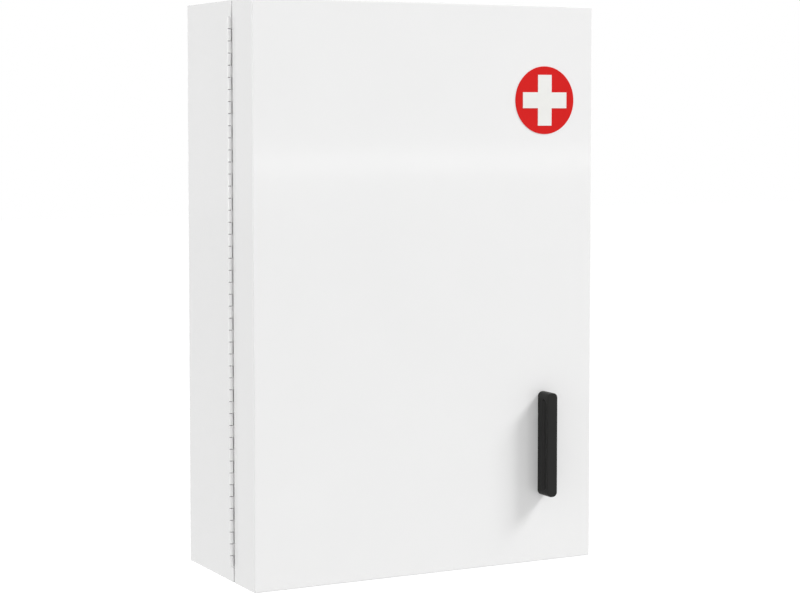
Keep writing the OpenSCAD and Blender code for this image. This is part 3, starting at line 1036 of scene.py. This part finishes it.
@dataclass(frozen=True)
class PanScrew:
    """A pan-head screw with a cross recess, whose lesser sizes are shares of the head's.

    Attributes:
        head_r: radius of the head.
        head_h: height of the head.
        shank_r: radius of the shank.
        dome: width of the head's rounding, of its height.
        arm: reach of the recess, of the head's radius.
        arm_w: width of the recess, of the head's radius.
        recess: depth of the recess, of the head's height.
        taper: size of the recess at its bottom, of that at its top.
        tip: chamfer of the shank's end, of its radius.
    """

    head_r: float
    head_h: float
    shank_r: float = 0.002
    dome: float = 0.55
    arm: float = 0.52
    arm_w: float = 0.2
    recess: float = 0.6
    taper: float = 0.55
    tip: float = 0.3

    def build(self, name: str, axis: Axis, top: Vector, way: int, length: float) -> Piece:
        """Makes the screw.

        Args:
            name: name of the screw.
            axis: axis that it lies along.
            top: centre of the head's top.
            way: 1 if the top faces along the axis, -1 if against it.
            length: length over all.

        Returns:
            The screw.
        """
        head_h, depth = self.head_h, self.head_h * self.recess
        head = add_round(
            "screw_head", Axis.Z, Vector((0, 0, -head_h)), head_h, self.head_r, sides=48
        )
        round_edges(head, lies_at(z=0), head_h * self.dome, 6)
        arm, half_w = self.head_r * self.arm, self.head_r * self.arm_w / 2
        for half in (Vector((arm, half_w, 0)), Vector((half_w, arm, 0))):
            slot = add_block("recess", -half - Vector((0, 0, depth)), half + Vector((0, 0, PAST)))
            with Bench(slot) as bench:
                bench.faces(facing(Side.BOTTOM))
                bpy.ops.transform.resize(
                    value=(self.taper, self.taper, 1.0), center_override=(0, 0, -depth)
                )
            cut(head, slot)
        start = Vector((0, 0, -length))
        shank = add_round("shank", Axis.Z, start, length - head_h / 2, self.shank_r, sides=32)
        round_edges(shank, lies_at(z=-length), self.shank_r * self.tip, 2)
        cut(head, shank, Work.ADD)
        activate(head)
        head.rotation_euler = [way * turn for turn in axis.value[1]]
        head.location = top
        return named(name)


@dataclass
class PullHandle:
    """The black pull with its finger scoops, its screws and their washers."""

    wardrobe: Wardrobe
    corner: float = 0.0052
    front_edge: float = 0.001
    scoop_r: float = 0.007
    scoop_depth: float = 0.0022
    scoop_end: float = 0.0065
    scoop_lip: float = 0.0026
    scoop_edge: float = 0.0004
    scoop_sharp: float = math.radians(38)
    washer_edge: float = 0.0002
    screw: PanScrew = PanScrew(0.004, 0.0026)

    def build(self) -> None:
        """Builds the grip, the screws and the washers."""
        self.grip()
        low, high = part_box("handle_screws")
        screws = [
            self.screw.build("handle_screw", Axis.Y, top, 1, high.y - low.y)
            for top in screw_places(high.y)
        ]
        self.wardrobe.dress(joined("handle_screw_pair", screws), ZINC, Body.DOOR, "handle_screws")
        self.wardrobe.take_over(
            "handle_washers", "handle_washer_pair", self.washer_edge, ZINC, Body.DOOR
        )

    def grip(self) -> None:
        """Shapes the grip from a block: round corners, soft front edge, two scoops."""
        low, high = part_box("handle")
        grip = add_block("handle_grip", low, high)
        round_edges(grip, runs_along_y, self.corner, 10)
        round_edges(grip, lies_at(y=low.y), self.front_edge, 5)
        for way in (-1, 1):
            cut(grip, self.scoop(way, low, high))
        soften(grip, self.scoop_edge, segments=3, angle=self.scoop_sharp)
        self.wardrobe.dress(grip, BLACK_PLASTIC, Body.DOOR, "handle")

    def scoop(self, way: int, low: Vector, high: Vector) -> Piece:
        """Makes the cutter of one finger scoop, a ball drawn out along Z.

        Args:
            way: -1 for the left side, 1 for the right.
            low: lowest corner of the handle.
            high: highest corner of the handle.

        Returns:
            The cutter.
        """
        chord = math.sqrt(self.scoop_r**2 - (self.scoop_r - self.scoop_depth) ** 2)
        side = high.x if way > 0 else low.x
        middle = Vector((
            side + way * (self.scoop_r - self.scoop_depth),
            low.y + self.scoop_lip + chord,
            (low.z + high.z) / 2,
        ))
        half = (high.z - low.z) / 2 - self.scoop_end - chord
        bpy.ops.mesh.primitive_uv_sphere_add(
            segments=64, ring_count=31, radius=self.scoop_r, location=middle
        )
        scoop = named("scoop_cut")
        with Bench(scoop) as bench:
            for end in (-1, 1):
                bench.points(lambda at: end * (at.z - middle.z) > 0)
                bpy.ops.transform.translate(value=(0, 0, end * half))
        return scoop


@dataclass
class FirstAidSign:
    """The red disc and the white cross on it."""

    wardrobe: Wardrobe
    arm: float = 0.017
    disc_edge: float = 0.00012
    cross_edge: float = 0.00006

    def build(self) -> None:
        """Builds the disc and the cross."""
        low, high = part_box("first_aid_disc")
        start = (low + high) / 2
        start.y = low.y
        disc = add_round(
            "sign_disc", Axis.Y, start, high.y - low.y, (high.x - low.x) / 2, sides=160
        )
        round_edges(disc, lies_at(y=low.y), self.disc_edge, 2)
        self.wardrobe.dress(disc, RED_VINYL, Body.DOOR, "first_aid_disc")
        self.cross()

    def cross(self) -> None:
        """Draws four arms out of a square."""
        low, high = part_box("first_aid_cross")
        middle = (low + high) / 2
        half = Vector((self.arm, high.y - low.y, self.arm)) / 2
        reach = (high.x - low.x - self.arm) / 2
        cross = add_block("sign_cross", middle - half, middle + half)
        with Bench(cross) as bench:
            for side in (Side.LEFT, Side.RIGHT, Side.BOTTOM, Side.TOP):
                start = middle + side.way * self.arm / 2
                bench.faces(lambda centre, normal: (centre - start).length < SAME_PLACE)
                bench.extrude(side.way * reach)
        seal(cross)
        soften(cross, self.cross_edge)
        self.wardrobe.dress(cross, WHITE_VINYL, Body.DOOR, "first_aid_cross")


@dataclass
class DoorTrays:
    """The three open trays on the inside of the door."""

    wardrobe: Wardrobe
    sheet: float = 0.001
    bend: float = 0.002
    lip: float = 0.032
    rim: float = 0.0003

    def build(self) -> None:
        """Folds one tray and copies it to the other two heights."""
        low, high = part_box("door_tray_lower")
        tray = add_block("tray_lower", low, high)
        with Bench(tray) as bench:
            bench.faces(facing(Side.TOP))
            bpy.ops.mesh.delete(type="FACE")
            bench.points(lambda at: near(at.y, high.y) and near(at.z, high.z))
            bpy.ops.transform.translate(value=(0, 0, low.z + self.lip - high.z))
        at_floor = lies_at(z=low.z)
        round_edges(
            tray, lambda a, b: at_floor(a, b) and near(a.y, b.y), self.bend, FOLD_SEGMENTS
        )
        thicken(tray, self.sheet)
        soften(tray, self.rim)
        trays = {"lower": tray}
        for level in ("middle", "upper"):
            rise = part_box(f"door_tray_{level}")[0].z - low.z
            trays[level] = copied(tray, f"tray_{level}", (0, 0, rise))
        for level, piece in trays.items():
            self.wardrobe.dress(piece, WHITE_PAINT, Body.DOOR, f"door_tray_{level}")


@dataclass
class Shelving:
    """Slotted rails, the clips hooked in them and the two shelves on the clips."""

    wardrobe: Wardrobe
    sheet: float = 0.001
    bend: float = 0.001
    returned: float = 0.008
    rim: float = 0.00025
    rail_w: float = 0.016
    rail_depth: float = 0.004
    rail_bend: float = 0.0012
    rail_edge: float = 0.00012
    slot_pitch: float = 0.025
    slot: Triple = (0.003, 0.008, 0.003)
    clip_edge: float = 0.00015

    def build(self) -> None:
        """Builds rails, clips and shelves."""
        self.rails()
        self.shelves()
        self.wardrobe.take_over("shelf_clips", "shelf_clip_set", self.clip_edge, ZINC, Body.CASE)

    def rails(self) -> None:
        """Folds one slotted channel and copies it to the four places."""
        low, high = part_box("shelf_rails")
        face_x = high.x - self.rail_depth
        rail = add_block(
            "rail_front_right", Vector((face_x, low.y, low.z)),
            Vector((high.x, low.y + self.rail_w, high.z)),
        )
        with Bench(rail) as bench:
            bench.faces(facing(Side.RIGHT, Side.TOP, Side.BOTTOM))
            bpy.ops.mesh.delete(type="FACE")
        round_edges(rail, lies_at(x=face_x), self.rail_bend, 3)
        thicken(rail, self.sheet, quality=False)
        first = Vector((face_x, low.y + self.rail_w / 2, low.z + self.slot_pitch / 2))
        half = Vector(self.slot) / 2
        slots = add_block("slot_cuts", first - half, first + half)
        count = math.floor((high.z - low.z - self.slot_pitch) / self.slot_pitch) + 1
        repeat(slots, count, (0, 0, self.slot_pitch))
        cut(rail, slots)
        soften(rail, self.rail_edge, segments=1)
        rear = (0, high.y - low.y - self.rail_w, 0)
        rails = [rail, copied(rail, "rail_rear_right", rear)]
        for piece, name in zip(tuple(rails), ("rail_front_left", "rail_rear_left")):
            rails.append(mirrored(piece, name, (0, 0, 0), (-1, 1, 1)))
        self.wardrobe.dress(joined("slotted_rails", rails), WHITE_PAINT, Body.CASE, "shelf_rails")

    def shelves(self) -> None:
        """Folds one shelf and copies it to the other height."""
        low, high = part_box("shelf_lower")
        shelf = add_block("shelf_low", low, high)
        at_rim = lies_at(z=low.z)
        with Bench(shelf) as bench:
            bench.faces(facing(Side.BOTTOM))
            bpy.ops.mesh.delete(type="FACE")
            bench.edges(lambda a, b: not at_rim(a, b))
            bench.bevel(self.bend, 4)
            bench.edges(lies_at(y=low.y, z=low.z))
            bench.extrude((0, self.returned, 0))
        thicken(shelf, self.sheet, quality=False)
        soften(shelf, self.rim)
        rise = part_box("shelf_upper")[0].z - low.z
        upper = copied(shelf, "shelf_high", (0, 0, rise))
        self.wardrobe.dress(shelf, WHITE_PAINT, Body.CASE, "shelf_lower")
        self.wardrobe.dress(upper, WHITE_PAINT, Body.CASE, "shelf_upper")


@dataclass
class CamLock:
    """The cylinder lock in the door's side, with its nut and its hook cam."""

    wardrobe: Wardrobe
    bezel_t: float = 0.002
    bezel_edge: float = 0.0007
    dish_inset: float = 0.0016
    dish_depth: float = 0.0003
    housing_r: float = 0.008
    housing_flat: float = 0.007
    thread_pitch: float = 0.001
    thread_depth: float = 0.0005
    bore_r: float = 0.00505
    plug_edge: float = 0.0003
    plug_trim: float = 0.00012
    plug_sharp: float = math.radians(70)
    keyway: Triple = (0.024, 0.0016, 0.007)
    drive_w: float = 0.006
    screw_hole: float = 0.0022
    screw_hole_depth: float = 0.01
    nut_chamfer: float = 0.0008
    nut_slack: float = 0.00015
    nut_round: float = 0.995
    cam_edge: float = 0.0003
    screw: PanScrew = PanScrew(0.00425, 0.0024)

    def build(self) -> None:
        """Builds the lock's pieces."""
        self.barrel()
        self.nut()
        self.plug()
        self.wardrobe.take_over("lock_cam", "hook_cam", self.cam_edge, ZINC, Body.LOCK)
        low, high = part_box("cam_screw")
        top = on_lock_axis(low.x)
        screw = self.screw.build("cam_fixing_screw", Axis.X, top, -1, high.x - low.x)
        self.wardrobe.dress(screw, ZINC, Body.LOCK, "cam_screw")

    def barrel(self) -> None:
        """Builds the threaded housing and its dished bezel round the plug's bore."""
        low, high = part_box("lock_barrel")
        seat = high.x - self.bezel_t
        thread = self.threaded_bar(low.x, seat + self.bezel_t / 2)
        radius = (high.y - low.y) / 2
        housing = add_round(
            "lock_housing", Axis.X, on_lock_axis(seat), self.bezel_t, radius, sides=96
        )
        round_edges(housing, lies_at(x=high.x), self.bezel_edge, 5)
        with Bench(housing) as bench:
            bench.faces(facing(Side.RIGHT))
            bpy.ops.mesh.inset(thickness=self.dish_inset)
            bench.extrude((-self.dish_depth, 0, 0))
        cut(housing, thread, Work.ADD)
        drill(housing, Axis.X, on_lock_axis(low.x - PAST), high.x - low.x + 2 * PAST, self.bore_r)
        self.wardrobe.dress(housing, CHROME, Body.DOOR, "lock_barrel")

    def threaded_bar(self, start: float, end: float) -> Piece:
        """Makes a threaded bar with two flats.

        Args:
            start: where it starts along X.
            end: where it ends along X.

        Returns:
            The bar.
        """
        turns = round((end - start) / self.thread_pitch)
        pitch = (end - start) / turns
        bar = add_round("thread", Axis.X, on_lock_axis(start), pitch, self.housing_r, capped=False)
        valley = on_lock_axis(start + pitch / 2)
        root = (self.housing_r - self.thread_depth) / self.housing_r
        with Bench(bar) as bench:
            bench.everything()
            bpy.ops.mesh.bisect(plane_co=valley, plane_no=(1, 0, 0))
            bench.points(lambda at: near(at.x, valley.x))
            bpy.ops.transform.resize(value=(1, root, root), center_override=valley)
        repeat(bar, turns, (pitch, 0, 0))
        close_ends(bar)
        flatten(bar, valley.z, self.housing_flat)
        return bar

    def nut(self) -> None:
        """Chamfers a hexagon and bores it."""
        low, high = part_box("lock_nut")
        start, thickness = on_lock_axis(low.x), high.x - low.x
        corner_r = (high.z - low.z) / math.cos(math.pi / 6) / 2
        nut = add_round("lock_nut_hex", Axis.X, start, thickness, corner_r, sides=6)
        trim = add_round("trim", Axis.X, start, thickness, corner_r * self.nut_round, sides=96)
        round_edges(trim, lambda a, b: near(a.x, b.x), self.nut_chamfer, 1)
        cut(nut, trim, Work.TRIM)
        bore_r = self.housing_r + self.nut_slack
        drill(nut, Axis.X, on_lock_axis(low.x - PAST), thickness + 2 * PAST, bore_r)
        self.wardrobe.dress(nut, ZINC, Body.DOOR, "lock_nut")

    def plug(self) -> None:
        """Builds the plug with its keyway, its square drive and its screw hole."""
        low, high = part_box("lock_plug")
        cam_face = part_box("lock_cam")[1].x
        radius = (high.y - low.y) / 2
        plug = add_round("key_plug", Axis.X, on_lock_axis(cam_face), high.x - cam_face, radius)
        round_edges(plug, lies_at(x=high.x), self.plug_edge, 2)
        half = Vector((0, self.drive_w, self.drive_w)) / 2
        rear = on_lock_axis(low.x)
        drive = add_block("drive", rear - half, on_lock_axis(cam_face + PAST) + half)
        cut(plug, drive, Work.ADD)
        face, half = on_lock_axis(high.x), Vector(self.keyway) / 2
        cut(plug, add_block("keyway", face - half, face + half))
        start, depth = on_lock_axis(low.x - PAST), self.screw_hole_depth + PAST
        drill(plug, Axis.X, start, depth, self.screw_hole, 32)
        soften(plug, self.plug_trim, segments=1, angle=self.plug_sharp)
        self.wardrobe.dress(plug, CHROME, Body.LOCK, "lock_plug")


@dataclass
class CatchAndBuffers:
    """The magnetic catch in the case's flange and the rubber buffers round it."""

    wardrobe: Wardrobe
    housing_edge: float = 0.0004
    magnet_edge: float = 0.0003
    pole_edge: float = 0.0002
    buffer_edge: float = 0.0004

    def build(self) -> None:
        """Rounds the catch's pieces and the buffers."""
        for node, name, edge, finish in (
            ("catch_housing", "catch_case", self.housing_edge, BLACK_PLASTIC),
            ("catch_magnet", "catch_magnet_block", self.magnet_edge, MAGNET),
            ("catch_poles", "catch_pole_plates", self.pole_edge, POLE_STEEL),
            ("door_buffers", "rubber_buffers", self.buffer_edge, RUBBER),
        ):
            self.wardrobe.take_over(node, name, edge, finish, Body.CASE)


# Studio ------------------------------------------------------------------------


@dataclass(frozen=True)
class SoftBox:
    """One rectangular lamp."""

    name: str
    place: Triple
    aim: Triple
    width: float
    height: float
    power: float
    gloss_only: bool = False

    def build(self) -> None:
        """Hangs the lamp and turns it to what it lights."""
        data = bpy.data.lights.new(self.name, "AREA")
        data.shape = "RECTANGLE"
        data.size, data.size_y, data.energy = self.width, self.height, self.power
        lamp = bpy.data.objects.new(self.name, data)
        bpy.context.scene.collection.objects.link(lamp)
        lamp.location = self.place
        lamp.rotation_mode = "QUATERNION"
        away = Vector(self.place) - Vector(self.aim)
        lamp.rotation_quaternion = away.to_track_quat("Z", "Y")
        lamp.visible_camera = False
        lamp.visible_diffuse = not self.gloss_only


@dataclass
class Studio:
    """Camera, lamps, white surroundings and floor."""

    camera_place: Triple = (-1.0150, -2.07493, 0.18318)
    camera_azimuth: float = math.radians(-27.32483)
    camera_elevation: float = math.radians(3.35622)
    sensor: float = 36.0
    lens: float = 92.807
    shift_y: float = -0.08
    sky: float = 0.51
    floor_z: float = -1.5
    floor_size: float = 60.0
    floor_albedo: float = 0.6
    floor_glow: float = 0.72
    floor_mirrored_glow: float = 0.57

    def build(self) -> None:
        """Sets up the studio."""
        self.camera()
        self.world()
        self.floor()
        for lamp in self.lamps():
            lamp.build()
        bpy.context.scene.view_settings.view_transform = "Standard"

    def camera(self) -> None:
        """Places the camera where the photograph was taken from."""
        data = bpy.data.cameras.new("camera")
        data.sensor_width, data.lens, data.shift_y = self.sensor, self.lens, self.shift_y
        camera = bpy.data.objects.new("camera", data)
        bpy.context.scene.collection.objects.link(camera)
        azimuth, elevation = self.camera_azimuth, self.camera_elevation
        back = Vector((
            math.sin(azimuth) * math.cos(elevation),
            -math.cos(azimuth) * math.cos(elevation),
            math.sin(elevation),
        ))
        camera.location = self.camera_place
        camera.rotation_mode = "QUATERNION"
        camera.rotation_quaternion = (-back).to_track_quat("-Z", "Y")
        bpy.context.scene.camera = camera

    def lamps(self) -> tuple[SoftBox, ...]:
        """Gives the studio's lamps.

        Returns:
            The key from the upper right, weak ones from the front, the left and behind, and
            the strip that shows in gloss alone.
        """
        return (
            SoftBox("key", (6.5, -3.85, 6.5), (0, -0.15, 0), 3.0, 3.0, 640.0),
            SoftBox("front", (0.0, -5.0, 0.3), (0, -0.15, 0), 2.0, 2.0, 35.0),
            SoftBox("fill", (-4.0, -0.2, 0.6), (0, -0.1, 0), 1.6, 1.6, 52.0),
            SoftBox("back", (0.0, 5.0, 0.3), (0, 0, 0), 2.0, 2.0, 20.0),
            SoftBox("strip", (0.53, -1.177, 0.1098), (0.53, 0, 0.1098), 0.8, 0.03, 0.17, True),
        )

    def world(self) -> None:
        """Makes the surroundings white in view and in reflections, and a soft even light."""
        world = bpy.data.worlds.new("surroundings")
        bpy.context.scene.world = world
        world.use_nodes = True
        tree = world.node_tree
        strength = by_ray(tree, 1.0, 1.0, self.sky)
        feed(tree.nodes["Background"], {"Color": WHITE, "Strength": strength})

    def floor(self) -> None:
        """Lays a pale floor that keeps the shadow and looks white."""
        bpy.ops.mesh.primitive_plane_add(size=self.floor_size, location=(0, 0, self.floor_z))
        floor = named("floor")
        material, shader = new_material("floor_pale")
        glow = by_ray(material.node_tree, self.floor_glow, self.floor_mirrored_glow, 0.0)
        feed(shader, {
            "Base Color": (*[self.floor_albedo] * 3, 1.0), "Roughness": 1.0,
            "Specular IOR Level": 0.0, "Emission Color": WHITE, "Emission Strength": glow,
        })
        floor.data.materials.append(material)


def by_ray(tree: Tree, seen: float, mirrored: float, otherwise: float) -> Socket:
    """Adds a strength that depends on how a ray came to the surface.

    Args:
        tree: the node tree that gets it.
        seen: strength where it is seen directly or through glass.
        mirrored: strength where it is seen in a reflection.
        otherwise: strength of the light that it gives, no more than the other two.

    Returns:
        The output with the strength.
    """
    rays = tree.nodes.new("ShaderNodeLightPath").outputs
    strength = None
    for name, value in (
        ("Is Camera Ray", seen), ("Is Transmission Ray", seen), ("Is Glossy Ray", mirrored)
    ):
        limits = {"Value": rays[name], "To Min": otherwise, "To Max": value}
        share = add_node(tree, "ShaderNodeMapRange", limits).outputs["Result"]
        if strength:
            pair = {0: strength, 1: share}
            share = add_node(tree, "ShaderNodeMath", pair, operation="MAXIMUM").outputs[0]
        strength = share
    return strength


def main() -> None:
    """Builds the studio and each sub-assembly, in order."""
    logging.basicConfig(level=logging.INFO, format="%(message)s")
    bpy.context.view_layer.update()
    Studio().build()
    wardrobe = Wardrobe()
    for kind in (
        SteelCase, PanDoor, PianoHinge, PullHandle, FirstAidSign, DoorTrays, Shelving, CamLock,
        CatchAndBuffers,
    ):
        kind(wardrobe).build()


if __name__ == "__main__":
    main()
